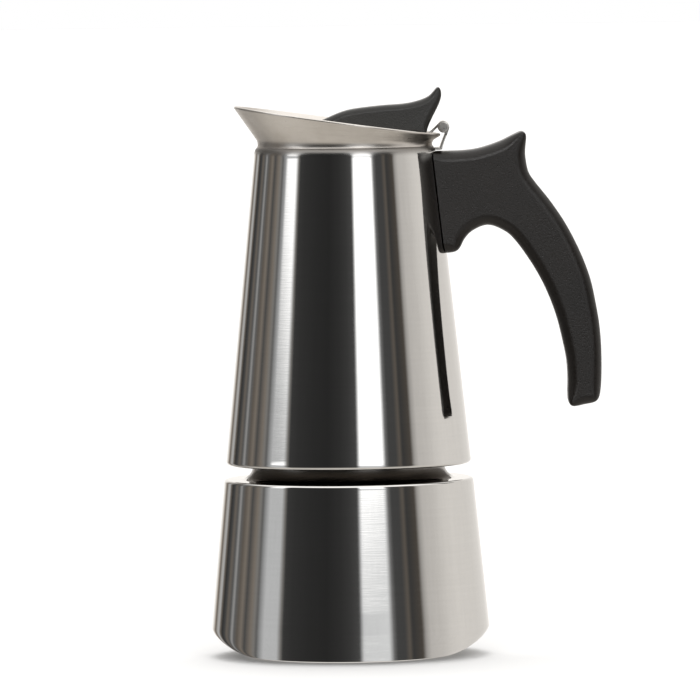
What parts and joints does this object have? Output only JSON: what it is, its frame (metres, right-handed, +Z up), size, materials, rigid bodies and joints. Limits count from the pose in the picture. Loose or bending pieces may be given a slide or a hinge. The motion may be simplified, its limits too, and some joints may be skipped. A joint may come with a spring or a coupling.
{
  "type": "moka pot",
  "caption": "Stove-top moka pot: conical steel boiler, screw-on conical collector with slanted spout collar, hinged lid and black arched handle.",
  "frame": {"origin": "centre of the flat base, on the surface the pot stands on", "axes": "+Z up along the pot's axis, +X towards the handle and -X towards the spout, +Y towards the safety valve"},
  "size_m": [0.142, 0.1072, 0.2053],
  "materials": {
    "boiler_steel": "mirror polish with faint drawing lines",
    "base_steel": "circular brushed",
    "valve_brass": "turned",
    "valve_seal": "matt white silicone",
    "spring_steel": "bright wire",
    "valve_steel": "turned",
    "funnel_steel": "satin",
    "filter_steel": "satin",
    "gasket_silicone": "matt white silicone",
    "collector_steel": "mirror polish with faint drawing lines",
    "inner_steel": "satin",
    "collar_steel": "satin",
    "handle_plastic": "fine moulded grain",
    "screw_steel": "bright",
    "hinge_steel": "bright",
    "lid_plastic": "fine moulded grain",
    "lid_steel": "satin"
  },
  "bodies": {
    "boiler": {"boiler_shell": "boiler_steel", "boiler_floor": "boiler_steel", "base_plate": "base_steel", "valve_body": "valve_brass", "valve_washer": "valve_seal", "valve_spring": "spring_steel"},
    "valve_plunger": {"valve_pin": "valve_steel"},
    "funnel": {"funnel_cup": "funnel_steel", "funnel_cone": "funnel_steel", "funnel_socket": "funnel_steel", "funnel_stem": "funnel_steel", "basket_filter": "filter_steel"},
    "seal": {"gasket": "gasket_silicone"},
    "strainer": {"filter_plate": "filter_steel"},
    "collector": {"collector_shell": "collector_steel", "collector_base": "inner_steel", "collector_skirt": "inner_steel", "riser_tube": "inner_steel", "riser_cap": "inner_steel", "pouring_collar": "collar_steel", "handle": "handle_plastic", "handle_bracket": "inner_steel", "handle_screw": "screw_steel", "hinge_bracket": "hinge_steel", "hinge_pin": "hinge_steel"},
    "lid": {"lid_cap": "lid_plastic", "lid_disc": "lid_steel", "lid_leaf": "hinge_steel", "lid_rivet_front": "screw_steel", "lid_rivet_back": "screw_steel"}
  },
  "joints": [
    {"name": "funnel_lift", "type": "slide", "parent": "boiler", "child": "funnel", "axis": [0, 0, 1], "range_m": [0, 0.08]},
    {"name": "top_lift_off", "type": "slide", "parent": "funnel", "child": "seal", "axis": [0, 0, 1], "range_m": [0, 0.08]},
    {"name": "thread_advance", "type": "slide", "parent": "seal", "child": "strainer", "axis": [0, 0, 1], "range_m": [0, 0.00451]},
    {"name": "top_unscrew", "type": "hinge", "parent": "strainer", "child": "collector", "pos_m": [0, 0, 0.077], "axis": [0, 0, 1], "range_deg": [0, 540]},
    {"name": "lid_hinge", "type": "hinge", "parent": "collector", "child": "lid", "pos_m": [0.0357, 0, 0.191], "axis": [0, 1, 0], "range_deg": [0, 110]},
    {"name": "valve_pin_slide", "type": "slide", "parent": "boiler", "child": "valve_plunger", "axis": [0, 0.9958, 0.092], "range_m": [0, 0.0015], "stiffness_N_per_m": 800, "springref_m": -0.003, "deforming": ["valve_spring"]}
  ],
  "couplings": [
    {"joint": "thread_advance", "follows": "top_unscrew", "m_per_rad": 0.00047746}
  ]
}
